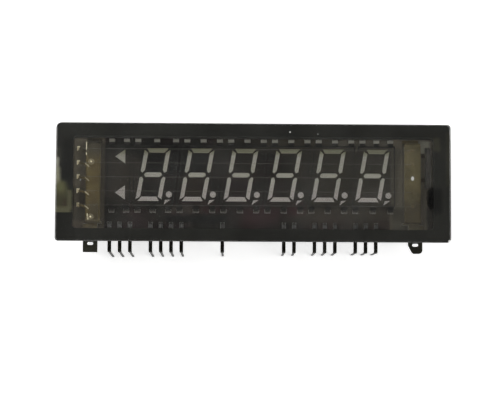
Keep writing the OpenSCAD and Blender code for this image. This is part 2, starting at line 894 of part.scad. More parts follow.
module getter_channel() {
  wall = 0.15;
  color([0.5, 0.5, 0.5])
    difference() {
      box(getter_x, getter_y, z_fixed_shelf, [getter_w, getter_len, 0.9]);
      box(getter_x, getter_y, z_fixed_shelf + wall, [getter_w - 2 * wall, getter_len + 1, 1]);
    }
}

module getter_fill() {
  color([0.25, 0.24, 0.23])
    box(getter_x, getter_y, z_fixed_shelf + 0.15, [getter_w - 0.3, getter_len - 0.6, 0.5]);
}

module getter_mirror() {
  film_t = 0.03;
  color([0.12, 0.12, 0.13])
    translate([0, 0, z_face - film_t])
      linear_extrude(film_t)
        intersection() {
          translate(mirror_at) {
            translate([0.35, -2.6]) circle(0.75);
            translate([0.1, -1.3]) circle(1.1);
            circle(1.15);
            translate([-0.05, 1.2]) circle(1);
            translate([0.3, 2.4]) circle(0.7);
          }
          square([glass_w - 2 * seal_end_w - 0.1, glass_h], center = true);
        }
}

face_plate();
base_plate();
side_plate_top();
side_plate_bottom();
side_plate_left();
side_plate_right();
face_seal();
base_seal();
exhaust_tip();
tip_seal();
wiring_layer();
insulating_layer();
anode_pads();
digit_1();
digit_2();
digit_3();
digit_4();
digit_5();
digit_6();
pointers();
pointer_grid();
digit_grid_1();
digit_grid_2();
digit_grid_3();
digit_grid_4();
digit_grid_5();
digit_grid_6();
grid_bonds();
lead_bonds();
filament_1();
filament_2();
filament_3();
filament_4();
filament_5();
filament_welds();
spring_support();
filament_springs();
fixed_support();
getter_holder();
getter_channel();
getter_fill();
getter_mirror();
lead_01();
lead_02();
lead_03();
lead_04();
lead_05();
lead_06();
lead_07();
lead_08();
lead_09();
lead_10();
lead_11();
lead_12();
lead_13();
lead_14();
lead_15();
lead_16();
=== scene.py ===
"""Looks of a vacuum fluorescent display: its finishes, its fine grids and springs, and a small studio."""

import json
import logging
import math
from abc import ABC, abstractmethod
from dataclasses import dataclass, field
from enum import Enum
from typing import Any

import bpy
import numpy as np
from mathutils import Matrix, Vector


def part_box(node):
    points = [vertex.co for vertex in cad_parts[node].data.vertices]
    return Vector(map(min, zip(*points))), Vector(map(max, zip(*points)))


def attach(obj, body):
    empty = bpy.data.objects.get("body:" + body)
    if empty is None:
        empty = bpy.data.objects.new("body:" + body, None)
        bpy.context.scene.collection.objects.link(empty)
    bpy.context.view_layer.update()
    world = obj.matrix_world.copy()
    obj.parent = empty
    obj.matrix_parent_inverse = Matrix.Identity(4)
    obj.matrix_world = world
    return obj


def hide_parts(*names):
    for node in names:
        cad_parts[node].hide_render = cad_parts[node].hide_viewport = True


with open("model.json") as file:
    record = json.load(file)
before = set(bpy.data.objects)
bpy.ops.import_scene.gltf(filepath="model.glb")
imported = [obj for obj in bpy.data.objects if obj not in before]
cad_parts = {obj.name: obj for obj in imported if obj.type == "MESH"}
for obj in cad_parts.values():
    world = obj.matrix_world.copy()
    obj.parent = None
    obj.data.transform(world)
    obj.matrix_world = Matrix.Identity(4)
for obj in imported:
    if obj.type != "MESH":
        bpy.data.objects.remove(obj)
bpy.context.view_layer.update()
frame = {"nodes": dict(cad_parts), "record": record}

log = logging.getLogger("display")

MM = 0.001
BODY = "root"
# Point attribute with the share of a pale painted highlight on a metal piece.
PAINTED_GLINT = "painted_glint"

# Decimals of a metre that tell two places apart, and the length that they stand for.
DECIMALS = 7
SAME = 10.0**-DECIMALS

# Sockets of a mix of colours, by number because others share their names: share, two colours, result.
SHARE, BELOW, ABOVE, MIXED = 0, 6, 7, 2

# The range that most values of a noise lie in. A map takes a value, the range that it comes from, and the
# range that it goes to.
NOISE_SPAN = (0.3, 0.7)

Tree = bpy.types.NodeTree
Socket = bpy.types.NodeSocket
Inputs = dict[str | int, Any] | tuple[Any, ...]

# Points in metres, one per row, and faces as four point numbers per row.
Shape = tuple[np.ndarray, np.ndarray]


class Slot(str, Enum):
    """Material slots of the record."""

    GLASS = "clear_glass"
    SOLDER = "black_solder"
    WIRING = "wiring"
    INSULATION = "insulation"
    GRAPHITE = "graphite"
    PHOSPHOR = "phosphor"
    FOIL = "grid_foil"
    PASTE = "bond_paste"
    WIRE = "filament_wire"
    WELD = "weld_metal"
    SUPPORT = "support_metal"
    SPRING = "spring_metal"
    GETTER = "getter_metal"
    COMPOUND = "getter_compound"
    FILM = "getter_film"
    LEAD = "lead_metal"


def linear(hex_colour: str) -> tuple[float, float, float, float]:
    """Turns an sRGB hex colour into linear RGBA.

    Args:
        hex_colour: Six hex digits with a leading hash sign.

    Returns:
        Linear red, green and blue, with an alpha of one.
    """
    srgb = np.array([int(hex_colour[i : i + 2], 16) for i in (1, 3, 5)]) / 255
    light = np.where(srgb <= 0.04045, srgb / 12.92, ((srgb + 0.055) / 1.055) ** 2.4)
    return (*light.tolist(), 1.0)


def per_metre(size_mm: float) -> float:
    """Gives the scale of a pattern whose features are this many millimetres apart."""
    return 1 / (size_mm * MM)


def add(tree: Tree, kind: str, inputs: Inputs = (), out: str | int = 0, **settings: Any) -> Socket | None:
    """Adds one shader node to a tree.

    Args:
        tree: The node tree of a material or of the world.
        kind: The node's type name, without the ShaderNode that all of them start with.
        inputs: Values for its sockets, in order or by name or number. A socket as the value is linked.
        out: Name or number of the output that is given back.
        settings: Values for the node's own properties.

    Returns:
        The new node's output, or None for a node without any.
    """
    node = tree.nodes.new("ShaderNode" + kind)
    for name, value in settings.items():
        setattr(node, name, value)
    named = inputs if isinstance(inputs, dict) else dict(enumerate(inputs))
    for key, value in named.items():
        if isinstance(value, Socket):
            tree.links.new(value, node.inputs[key])
        else:
            node.inputs[key].default_value = value
    return node.outputs[out] if node.outputs else None


@dataclass(frozen=True)
class Zone:
    """A stretch of a surface with a colour laid over it, in some zones its own tone and in others painted
    light, shade or highlights: a box with soft sides. Sizes are in millimetres.

    It fades out over soft beyond its half sizes, and a noise with waves of wave_mm shifts its sides by waver.
    Glass and film don't use its colour, only how much of it shows, as how opaque they are there.
    """

    colour: str
    centre: tuple[float, float, float]
    half: tuple[float, float, float]
    soft: float = 0.3
    waver: float = 0.0
    share: float = 1.0
    wave_mm: float = 2.5

    def mask(self, tree: Tree, place: Socket) -> Socket:
        """The zone's share of the colour: full inside the box, and less with the distance from it.

        Args:
            tree: The material's node tree.
            place: Object coordinates, in metres.

        Returns:
            The share's socket.
        """
        inputs = {"Vector": place, "Scale": per_metre(self.wave_mm), "Detail": 4.0}
        noise = add(tree, "TexNoise", inputs, "Color")
        moved = add(tree, "VectorMath", (noise, (self.waver * MM,) * 3, place), operation="MULTIPLY_ADD")
        centre = tuple((value + self.waver / 2) * MM for value in self.centre)
        offset = add(tree, "VectorMath", (moved, centre), operation="SUBTRACT")
        away = add(tree, "VectorMath", (offset,), operation="ABSOLUTE")
        half = tuple(value * MM for value in self.half)
        past = add(tree, "VectorMath", (away, half), operation="SUBTRACT")
        outside = add(tree, "VectorMath", (past, (0, 0, 0)), operation="MAXIMUM")
        far = add(tree, "VectorMath", (outside,), "Value", operation="LENGTH")
        fade = (far, 0.0, self.soft * MM, self.share, 0.0)
        return add(tree, "MapRange", fade, interpolation_type="SMOOTHSTEP")


# Half size of a zone that takes in a whole direction, in millimetres.
ALL = 1000.0

# The upper row of grid feet, and the upper side of the aluminium film, in millimetres.
FEET_Y = 10.64
FILM_TOP_Z = -6.77


@dataclass(frozen=True)
class Finish(ABC):
    """A finish: its name, the zones that lie on it, and a tree of shader nodes."""

    name: str
    zones: tuple[Zone, ...] = ()

    @abstractmethod
    def surface(self, tree: Tree, place: Socket) -> Socket:
        """Builds the shader.

        Args:
            tree: The material's node tree.
            place: Object coordinates, in metres.

        Returns:
            The shader's output socket.
        """

    def zoned(self, tree: Tree, place: Socket, colour: Socket) -> Socket:
        """Lays the zones over a colour.

        Args:
            tree: The material's node tree.
            place: Object coordinates, in metres.
            colour: The colour below.

        Returns:
            The colour's socket.
        """
        for zone in self.zones:
            inputs = {SHARE: zone.mask(tree, place), BELOW: colour, ABOVE: linear(zone.colour)}
            colour = add(tree, "Mix", inputs, MIXED, data_type="RGBA")
        return colour

    def build(self) -> bpy.types.Material:
        """Makes the material.

        Returns:
            The new material.
        """
        material = bpy.data.materials.new(self.name)
        material.use_nodes = True
        tree = material.node_tree
        tree.nodes.clear()
        place = add(tree, "TexCoord", out="Object")
        add(tree, "OutputMaterial", {"Surface": self.surface(tree, place)})
        return material


@dataclass(frozen=True, kw_only=True)
class FloatGlass(Finish):
    """Soda-lime float glass, cut and ground: clear, a little grey, with the dust and smudges of age."""

    tint: str = "#EFEFEC"
    ior: float = 1.52
    smudge_mm: float = 9.0
    dust_mm: float = 0.5
    dirt_span: tuple[float, float] = (0.15, 0.45)
    clear_share: tuple[float, float] = (0.9995, 0.986)
    rough: tuple[float, float] = (0.01, 0.05)

    def surface(self, tree: Tree, place: Socket) -> Socket:
        """Clear glass with smudges. Lamps pass through it, so that they light what lies inside.

        Args:
            tree: The material's node tree.
            place: Object coordinates, in metres.

        Returns:
            The shader's output socket.
        """
        smudge = add(tree, "TexNoise", {"Vector": place, "Scale": per_metre(self.smudge_mm), "Detail": 5.0})
        dust = add(tree, "TexNoise", {"Vector": place, "Scale": per_metre(self.dust_mm), "Detail": 2.0})
        dirt = add(tree, "Math", (smudge, dust), operation="MULTIPLY")
        share = add(tree, "MapRange", (dirt, *self.dirt_span, *self.clear_share))
        for zone in self.zones:
            mask = zone.mask(tree, place)
            share = add(tree, "Math", (share, mask), operation="SUBTRACT", use_clamp=True)
        rough = add(tree, "MapRange", (smudge, *NOISE_SPAN, *self.rough))
        inputs = {
            "Base Color": linear(self.tint),
            "Roughness": rough,
            "IOR": self.ior,
            "Transmission Weight": share,
        }
        glass = add(tree, "BsdfPrincipled", inputs)
        open_to_lamps = add(tree, "BsdfTransparent", {"Color": linear(self.tint)})
        shadow = add(tree, "LightPath", out="Is Shadow Ray")
        return add(tree, "MixShader", (shadow, glass, open_to_lamps))


@dataclass(frozen=True, kw_only=True)
class FiredPaste(Finish):
    """A printed and fired paste or powder: grainy, with slow drifts between two tones.

    Its real grains of about 0.01 mm are too fine to show, so they are drawn about ten times as coarse.
    """

    colour: str
    drift: str
    drift_mm: float = 8.0
    drift_span: tuple[float, float] = (0.4, 0.65)
    grain_mm: float = 0.12
    grain_share: float = 0.1
    grain_depth_mm: float = 0.02
    rough: float = 0.75
    rough_spread: tuple[float, float] = (-0.1, 0.05)
    bump: float = 0.2
    ior: float = 1.5

    def surface(self, tree: Tree, place: Socket) -> Socket:
        """Grain that roughens and darkens a drifting colour.

        Args:
            tree: The material's node tree.
            place: Object coordinates, in metres.

        Returns:
            The shader's output socket.
        """
        drift = add(tree, "TexNoise", {"Vector": place, "Scale": per_metre(self.drift_mm), "Detail": 4.0})
        share = add(tree, "MapRange", (drift, *self.drift_span))
        tones = {SHARE: share, BELOW: linear(self.colour), ABOVE: linear(self.drift)}
        tone = self.zoned(tree, place, add(tree, "Mix", tones, MIXED, data_type="RGBA"))
        grain = add(tree, "TexNoise", {"Vector": place, "Scale": per_metre(self.grain_mm), "Detail": 3.0})
        speck = add(tree, "MapRange", (grain, *NOISE_SPAN, 1 - self.grain_share, 1.0))
        tones = {SHARE: 1.0, BELOW: tone, ABOVE: speck}
        colour = add(tree, "Mix", tones, MIXED, data_type="RGBA", blend_type="MULTIPLY")
        spread = [self.rough + change for change in self.rough_spread]
        rough = add(tree, "MapRange", (grain, *NOISE_SPAN, *spread))
        depth = self.grain_depth_mm * MM
        bump = add(tree, "Bump", {"Height": grain, "Strength": self.bump, "Distance": depth})
        inputs = {"Base Color": colour, "Roughness": rough, "IOR": self.ior, "Normal": bump}
        return add(tree, "BsdfPrincipled", inputs)


@dataclass(frozen=True, kw_only=True)
class SheetMetal(Finish):
    """Rolled or etched sheet metal: a soft sheen with faint rolling lines and patches of oxide.

    Real rolling lines are about 0.01 mm apart, too fine to show, so they are drawn eight times as coarse.
    """

    colour: str
    oxide: str
    rough: float
    rough_spread: tuple[float, float] = (-0.1, 0.1)
    line_mm: float = 0.08
    line_stretch: float = 0.06
    line_bump: float = 0.04
    line_depth_mm: float = 0.01
    patch_mm: float = 2.5
    patch_span: tuple[float, float] = (0.4, 0.7)
    metallic: float = 1.0
    # Colour of a painted highlight, laid on where a piece's point attribute asks for it.
    painted_glint: str = ""

    def surface(self, tree: Tree, place: Socket) -> Socket:
        """Metal with rolling lines along Y, patches of a second tone, and a pale painted highlight where an
        attribute of the piece asks for it.

        Args:
            tree: The material's node tree.
            place: Object coordinates, in metres.

        Returns:
            The shader's output socket.
        """
        drawn = add(tree, "Mapping", {"Vector": place, "Scale": (1.0, self.line_stretch, 1.0)})
        lines = add(tree, "TexNoise", {"Vector": drawn, "Scale": per_metre(self.line_mm), "Detail": 2.0})
        patch = add(tree, "TexNoise", {"Vector": place, "Scale": per_metre(self.patch_mm), "Detail": 4.0})
        share = add(tree, "MapRange", (patch, *self.patch_span))
        tones = {SHARE: share, BELOW: linear(self.colour), ABOVE: linear(self.oxide)}
        tone = self.zoned(tree, place, add(tree, "Mix", tones, MIXED, data_type="RGBA"))
        # Painted highlight: the attribute mixes in a pale colour where glints are wanted.
        if self.painted_glint:
            glinting = add(tree, "Attribute", out="Fac", attribute_name=PAINTED_GLINT)
            tones = {SHARE: glinting, BELOW: tone, ABOVE: linear(self.painted_glint)}
            tone = add(tree, "Mix", tones, MIXED, data_type="RGBA")
        spread = [self.rough + change for change in self.rough_spread]
        rough = add(tree, "MapRange", (lines, *NOISE_SPAN, *spread))
        depth = self.line_depth_mm * MM
        bump = add(tree, "Bump", {"Height": lines, "Strength": self.line_bump, "Distance": depth})
        inputs = {"Base Color": tone, "Metallic": self.metallic, "Roughness": rough, "Normal": bump}
        return add(tree, "BsdfPrincipled", inputs)


@dataclass(frozen=True, kw_only=True)
class MirrorFilm(Finish):
    """A metal film blown on to glass: a dark mirror where it is thick, and clear where it thins out."""

    colour: str = "#232324"
    rough: tuple[float, float] = (0.2, 0.4)
    patch_mm: float = 1.2

    def surface(self, tree: Tree, place: Socket) -> Socket:
        """Metal that covers as much as its one zone does.

        Args:
            tree: The material's node tree.
            place: Object coordinates, in metres.

        Returns:
            The shader's output socket.
        """
        patch = add(tree, "TexNoise", {"Vector": place, "Scale": per_metre(self.patch_mm), "Detail": 4.0})
        rough = add(tree, "MapRange", (patch, *NOISE_SPAN, *self.rough))
        inputs = {
            "Base Color": linear(self.colour),
            "Metallic": 1.0,
            "Roughness": rough,
            "Alpha": self.zones[0].mask(tree, place),
        }
        return add(tree, "BsdfPrincipled", inputs)


FINISHES: dict[Slot, Finish] = {
    # Soda-lime glass: clear, but white where a corner is chipped and where three grains of grit stick.
    Slot.GLASS: FloatGlass(
        "soda_lime_float_glass",
        (
            Zone("#FFFFFF", (47.5, -14.1, -0.5), (0.35, 0.35, 0.5), 0.2, 0.2, 0.9),
            Zone("#FFFFFF", (8.7, 12.24, 0), (0.08, 0.1, 0.2), 0.12, 0, 0.8),
            Zone("#FFFFFF", (15.44, 11.8, 0), (0.04, 0.06, 0.2), 0.1, 0, 0.6),
            Zone("#FFFFFF", (-41.7, 0.32, 0), (0.06, 0.08, 0.2), 0.1, 0, 0.5),
        ),
    ),
    # Glass solder fused from a paste: a black glaze, thin at the left end, where pale and greenish painted
    # light shows through it with a painted highlight.
    Slot.SOLDER: FiredPaste(
        "black_glass_solder",
        (
            # Pale and greenish zones at the left end: painted light through thin solder, and a painted
            # highlight.
            Zone("#56543F", (-46.4, -5.0, -2), (0.9, 1.8, 1), 2.6, 1.4),
            Zone("#403F37", (-47.6, 3.0, -2), (0.1, 4.5, 1), 1.4, 1.0),
            Zone("#BCBAAE", (-47.7, 4.0, -2), (0.05, 1.5, 1), 0.9, 0.3),
            Zone("#B0AE9A", (-47.6, 1.4, -2), (0.15, 1.5, 1), 1.4, 0.4),
            Zone("#7B7A58", (-46.7, -1.3, -2), (0.2, 0.3, 1), 2.2, 1.2),
            Zone("#4A3B30", (-45.2, -5.4, -2), (0.4, 0.6, 1), 1.6, 1.2, 0.7),
            Zone("#141413", (-44.9, 5.4, -2), (0.4, 3.8, 1), 2.2, 1.2),
            Zone("#6A6852", (-44.5, -4.4, -2), (0.2, 2.0, 1), 0.7, 0.4),
            Zone("#74725A", (-46.2, -7.1, -2), (1.3, 0.5, 1), 1.0, 0.4),
            Zone("#1F1F1C", (-46.0, -11.0, -2), (3.0, 3.5, 1), 0.15),
            Zone("#4A483C", (44.4, 9.5, -2), (0.3, 1.0, 1), 1.2, 1.2, 0.7),
            Zone("#161615", (44.6, -4.2, -2), (0.5, 2.4, 1), 1.4, 0.6),
            Zone("#38372F", (47.6, 6.0, -2), (0.3, 6.0, 1), 1.0, 0.5),
        ),
        colour="#262624",
        drift="#2D2D2A",
        rough=0.5,
        bump=0.1,
        ior=1.45,
    ),
    # Evaporated aluminium film: a clean pale grey against the glass, and dull on its fired upper side.
    Slot.WIRING: SheetMetal(
        "aluminium_film",
        (Zone("#4A4947", (0, 0, FILM_TOP_Z), (ALL, ALL, 0.005), 0.01),),
        colour="#B9B9B6",
        oxide="#9E9E9A",
        rough=0.35,
    ),
    # Black glass paste: nearly black with brown and red drifts, the red partly painted reflections, paler and
    # browner at the two ends, with painted light under the top border and a painted shadow beside the right
    # shelf.
    Slot.INSULATION: FiredPaste(
        "black_insulating_paste",
        (
            Zone("#39352F", (26.0, 2.0, -6.7), (9.0, 5.0, 1), 12.0, 3.0),
            # Painted light: a lighter band along the top of the window, where the black border shades it.
            Zone("#3E3A32", (14.0, 9.8, -6.7), (22.0, 0.4, 1), 2.5, 1.5),
            Zone("#56514A", (27.5, 9.7, -6.7), (7.5, 0.3, 1), 1.8, 1.0),
            Zone("#39342F", (-33.0, 1.5, -6.7), (3.0, 3.5, 1), 4.0, 2.0),
            Zone("#070707", (-19.5, 6.0, -6.7), (6.0, 2.5, 1), 3.0, 2.0, 0.9),
            Zone("#070707", (-14.0, -8.9, -6.7), (7.0, 0.5, 1), 1.0, 1.0, 0.9),
            Zone("#2B2723", (-4.0, 7.0, -6.7), (3.5, 2.5, 1), 4.0, 2.0),
            Zone("#312925", (-14.5, -1.0, -6.7), (2.0, 1.5, 1), 3.0, 2.0),
            # Dark red patches: partly the paste's own tone, partly painted reflections.
            Zone("#1C0E10", (-3.6, -2.0, -6.7), (1.0, 1.0, 1), 2.5, 2.0),
            Zone("#2F1E21", (-14.0, -5.9, -6.7), (5.0, 0.4, 1), 1.4, 2.0, 0.8),
            Zone("#2F1E21", (1.8, -7.2, -6.7), (2.5, 0.8, 1), 4.5, 4.0, 0.8),
            Zone("#351F23", (10.6, -5.8, -6.7), (1.0, 0.3, 1), 2.4, 3.0, 0.8),
            Zone("#34302B", (-16.5, -6.3, -6.7), (3.0, 0.2, 1), 1.2, 2.0, 0.8),
            Zone("#5A544A", (-41.4, 0, -6.7), (4.2, 20, 1), 0.7),
            Zone("#766F64", (-43.6, 10.3, -6.7), (1.2, 0.6, 1), 2.0, 1.0),
            Zone("#6E675A", (-43.4, 3.8, -6.7), (1.3, 4.2, 1), 1.5, 0.8),
            Zone("#685F55", (-42.0, -10.5, -6.7), (3.0, 0.6, 1), 1.0),
            Zone("#5A554C", (40.4, 0, -6.7), (5.9, 20, 1), 0.9),
            # Painted light at the top right of the window, where the border shades it.
            Zone("#7A7366", (38.3, 10.9, -6.7), (3.0, 0.8, 1), 1.8, 0.6),
            Zone("#45423B", (36.4, -8.9, -6.7), (1.3, 2.2, 1), 1.8, 0.6),
            Zone("#2A2824", (44.4, -8.4, -6.7), (0.9, 2.6, 1), 0.9, 0.6),
            # Painted shadow: a dark line on the print beside the right shelf's edge.
            Zone("#3A372F", (37.25, 0.5, -6.7), (0.05, 9.0, 1), 0.3, 0, 0.6),
            Zone("#8A887E", (42.6, 9.4, -6.7), (0.9, 1.0, 1), 1.4, 1.5),
            Zone("#5A5850", (43.7, 3.6, -6.7), (0.3, 2.4, 1), 0.8, 2.0, 0.6),
        ),
        colour="#191714",
        drift="#241819",
        ior=1.25,
    ),
    # Graphite paste: the blackest of the prints, without any shine.
    Slot.GRAPHITE: FiredPaste("graphite_paste", colour="#0A0A0B", drift="#0E0E0E", rough=0.9, ior=1.3),
    # Zinc oxide phosphor powder: off-white and chalky, darker and yellower at the top, pinker at the bottom.
    Slot.PHOSPHOR: FiredPaste(
        "zinc_oxide_phosphor",
        (
            Zone("#C9C2BF", (0, -6.0, -6.6), (ALL, 3.0, 1), 5.0),
            Zone("#9C9A80", (0, 9.4, -6.6), (ALL, 1.2, 1), 1.6),
        ),
        colour="#C8C5BC",
        drift="#C2BFB4",
        drift_mm=5.0,
        grain_mm=0.1,
        grain_share=0.18,
        rough=0.9,
        bump=0.3,
    ),
    # Etched steel foil, darkened by firing, with grey paste on its feet and a paler rim at the right end.
    Slot.FOIL: SheetMetal(
        "etched_steel_foil",
        (
            Zone("#9C9A92", (0, FEET_Y, -6.62), (ALL, 0.26, 0.06), 0.22),
            Zone("#5E5B57", (0, -7.2, -6.62), (ALL, 0.25, 0.06), 0.2),
            Zone("#4A463E", (35.4, 2.0, -6.0), (0.3, 9.0, 1), 0.15),
        ),
        colour="#211F1D",
        oxide="#181716",
        rough=0.5,
        metallic=0.5,
    ),
    # Conductive glass paste: fired grey under the upper feet, darker under the lower ones, and nearly
    # black at the leads.
    Slot.PASTE: FiredPaste(
        "conductive_paste",
        (
            Zone("#454440", (0, -8.6, -6.7), (ALL, 2.6, 1), 0.2),
            Zone("#201F1D", (0, -9.8, -6.7), (ALL, 0.3, 1), 0.1),
        ),
        colour="#6F6D69",
        drift="#5F5D59",
        drift_mm=1.5,
        rough=0.6,
    ),
    # Tungsten wire with a chalky oxide coat: a dull grey without the shine of metal.
    Slot.WIRE: SheetMetal(
        "oxide_coated_tungsten", colour="#66645F", oxide="#55534F", rough=0.6, metallic=0.0
    ),
    # Welded nickel: dull, with a pale painted highlight on the welds at the spring tips and a white painted
    # glint on one weld at the fixed end.
    Slot.WELD: SheetMetal(
        "welded_nickel",
        (
            # Painted glint on the third wire's weld at the fixed end, and painted highlights on the welds at
            # the spring tips.
            Zone("#FFFFFF", (39.0, 1.4, -3.7), (0.6, 0.9, 1), 0.2),
            Zone("#E2D5B2", (-42.9, 0, -3.7), (1, 20, 1), 0.2),
        ),
        colour="#7A6F55",
        oxide="#5B5340",
        rough=0.35,
    ),
    # Iron-nickel strip with a straw heat tint inside, a painted glint along the left shelf's edge, painted
    # light on the right foot where the riser shades it, and dark with old tin outside the glass.
    Slot.SUPPORT: SheetMetal(
        "heat_tinted_iron_nickel",
        (
            Zone("#5E543C", (-39.3, 0, -4), (2.5, 8, 3), 2.0),
            Zone("#48443A", (-39.3, 10.0, -4), (2.5, 1.5, 3), 3.0),
            Zone("#7E7562", (-39.3, -10.2, -4), (2.5, 0.8, 3), 1.0),
            Zone("#524B3C", (39.0, -9.5, -4), (3.0, 3.5, 3), 3.5),
            # Painted light on the right foot, which lifts the shade of the riser.
            Zone("#827A68", (40.3, -10.6, -6.6), (3.0, 0.9, 0.4), 0.3),
            Zone("#433F36", (42.6, 4.0, -4), (1.4, 12, 1), 0.2),
            Zone("#56554B", (-40.3, -16.2, -6.7), (3, 2.2, 1), 0.3),
            Zone("#34332D", (40.3, -16.2, -6.7), (3, 2.2, 1), 0.3),
            # Painted glint along the left shelf's outer edge.
            Zone("#FFF6DC", (-41.02, 8.9, -4.4), (0.06, 2.1, 0.3), 0.08),
        ),
        colour="#706850",
        oxide="#5B5340",
        rough=0.5,
    ),
    # Spring strip, heat tinted as the shelf under it, with a pale painted highlight on its heads, ribs,
    # bright strokes and weld dimples.
    Slot.SPRING: SheetMetal(
        "spring_steel_strip",
        (
            Zone("#48443A", (-39.3, 9.0, -4), (3, 1.0, 3), 3.5),
            Zone("#524B3C", (-38.4, -7.6, -4), (0.9, 1.6, 3), 2.0),
        ),
        colour="#665B40",
        oxide="#544A37",
        rough=0.5,
        patch_mm=3.5,
        painted_glint="#FFF4D6",
    ),
    # Nickel-plated steel channel: a plain grey sheen.
    Slot.GETTER: SheetMetal("nickel_plated_channel", colour="#6E6D68", oxide="#53524C", rough=0.4),
    # Pressed getter powder: dark and crumbly.
    Slot.COMPOUND: FiredPaste(
        "pressed_getter_powder", colour="#2D2B29", drift="#3B3733", drift_mm=0.8, bump=0.6
    ),
    # Barium film on glass: a dark mirror that thins out at its rim.
    Slot.FILM: MirrorFilm(
        "barium_mirror_film", (Zone("#000000", (43.1, -3.7, -1.8), (0.2, 1.6, 1), 1.6, 0.8, 0.8),)
    ),
    # Tinned iron-nickel: dull and nearly black with age outside, and bare grey at the ends inside the glass.
    Slot.LEAD: SheetMetal(
        "aged_tinned_lead",
        (Zone("#676768", (0, -10.5, -6.6), (ALL, 0.3, 0.3), 0.3),),
        colour="#35342F",
        oxide="#22211F",
        rough=0.45,
        patch_mm=1.0,
    ),
}


def node_points(node: str) -> np.ndarray:
    """Reads the vertices of a CAD node.

    Args:
        node: The node's name.

    Returns:
        Its vertices in metres, one per row.
    """
    mesh = frame["nodes"][node].data
    points = np.empty(len(mesh.vertices) * 3)
    mesh.vertices.foreach_get("co", points)
    return points.reshape(-1, 3)


def weld(points: np.ndarray, faces: np.ndarray) -> tuple[np.ndarray, np.ndarray]:
    """Joins points that coincide and splits four-sided faces into triangles, without empty ones.

    Args:
        points: Points, one per row.
        faces: Four point numbers per row.

    Returns:
        The numbers of the points left, and three of the new numbers per row.
    """
    snapped = np.round(points / SAME).astype(np.int64)
    _, first, number = np.unique(snapped, axis=0, return_index=True, return_inverse=True)
    corners = number.reshape(-1)[faces]
    triangles = np.concatenate([corners[:, [0, 1, 2]], corners[:, [0, 2, 3]]])
    a, b, c = triangles.T
    return first, triangles[(a != b) & (b != c) & (c != a)]


def strip(path: np.ndarray, across: np.ndarray, up: np.ndarray) -> Shape:
    """A rectangle carried along a path.

    At each point its lower corners lie half of across to both sides, and the others up from there.

    Args:
        path: Points along the middle of the strip's lower side, one per row.
        across: The strip's width as a vector at each point, or once for all. Path, across and up turn right.
        up: The strip's thickness as a vector at each point, or once for all.

    Returns:
        Points and faces, with both ends closed.
    """
    count = len(path)
    across = np.broadcast_to(across, path.shape)
    up = np.broadcast_to(up, path.shape)
    left = path - across / 2
    right = path + across / 2
    corners = np.stack([left, right, right + up, left + up], 1)
    ring = np.arange(count - 1)[:, None] * 4
    side = np.arange(4)[None]
    after = (side + 1) % 4
    sides = np.stack([ring + side, ring + after, ring + 4 + after, ring + 4 + side], -1).reshape(-1, 4)
    ends = np.array([[3, 2, 1, 0], [4 * count - 4, 4 * count - 3, 4 * count - 2, 4 * count - 1]])
    return corners.reshape(-1, 3), np.concatenate([sides, ends])


def turned(radius: np.ndarray, height: np.ndarray, steps: int) -> Shape:
    """A profile carried round Z: the point at angle a is (radius cos a, radius sin a, height).

    Args:
        radius: Radii of the profile, from the axis on top, over the rim, to the axis below.
        height: Heights of the profile.
        steps: Points round the axis.

    Returns:
        Points and faces.
    """
    angle = np.arange(steps) * 2 * np.pi / steps
    flat = np.broadcast_to(height[:, None], (len(radius), steps))
    points = np.stack([np.outer(radius, np.cos(angle)), np.outer(radius, np.sin(angle)), flat], -1)
    number = np.arange(len(radius) * steps).reshape(-1, steps)
    after = np.roll(number, -1, 1)
    faces = np.stack([number[:-1], number[1:], after[1:], after[:-1]], -1)
    return points.reshape(-1, 3), faces.reshape(-1, 4)


def pillow(half: tuple[float, float], thick: float, sag: float, steps: int) -> Shape:
    """A small pressed plate: its top lies at thick - sag (u u + v v) / 2 over a grid of u and v from -1 to 1.

    Args:
        half: Half its size along X and along Y.
        thick: Its thickness.
        sag: How far its corners lie below its middle.
        steps: Points along a side.

    Returns:
        Points and faces, with the rim closed.
    """
    u, v = np.meshgrid(*(np.linspace(-1, 1, steps),) * 2, indexing="ij")
    top = np.stack([u * half[0], v * half[1], thick - sag * (u * u + v * v) / 2], -1).reshape(-1, 3)
    number = np.arange(steps * steps).reshape(steps, steps)
    cells = np.stack([number[:-1, :-1], number[1:, :-1], number[1:, 1:], number[:-1, 1:]], -1).reshape(-1, 4)
    under = steps * steps
    line = np.concatenate([number[:-1, 0], number[-1, :-1], number[:0:-1, -1], number[0, :0:-1]])
    after = np.roll(line, -1)
    rim = np.stack([after, line, line + under, after + under], -1)
    points = np.concatenate([top, top - [0, 0, thick]])
    return points, np.concatenate([cells, cells[:, ::-1] + under, rim])


def joined(parts: list[Shape]) -> Shape:
    """Puts several shapes into one.

    Args:
        parts: The shapes.

    Returns:
        All points, and all faces with their numbers shifted.
    """
    starts = np.cumsum([0] + [len(points) for points, _ in parts[:-1]])
    points = np.concatenate([points for points, _ in parts])
    faces = np.concatenate([faces + start for (_, faces), start in zip(parts, starts)])
    return points, faces


@dataclass
class Paint:
    """The finishes, each built on first use."""

    built: dict[Slot, bpy.types.Material] = field(default_factory=dict)

    def of(self, slot: Slot) -> bpy.types.Material:
        """Gives the material of a slot.

        Args:
            slot: The record's material slot.

        Returns:
            Its material.
        """
        if slot not in self.built:
            self.built[slot] = FINISHES[slot].build()
        return self.built[slot]


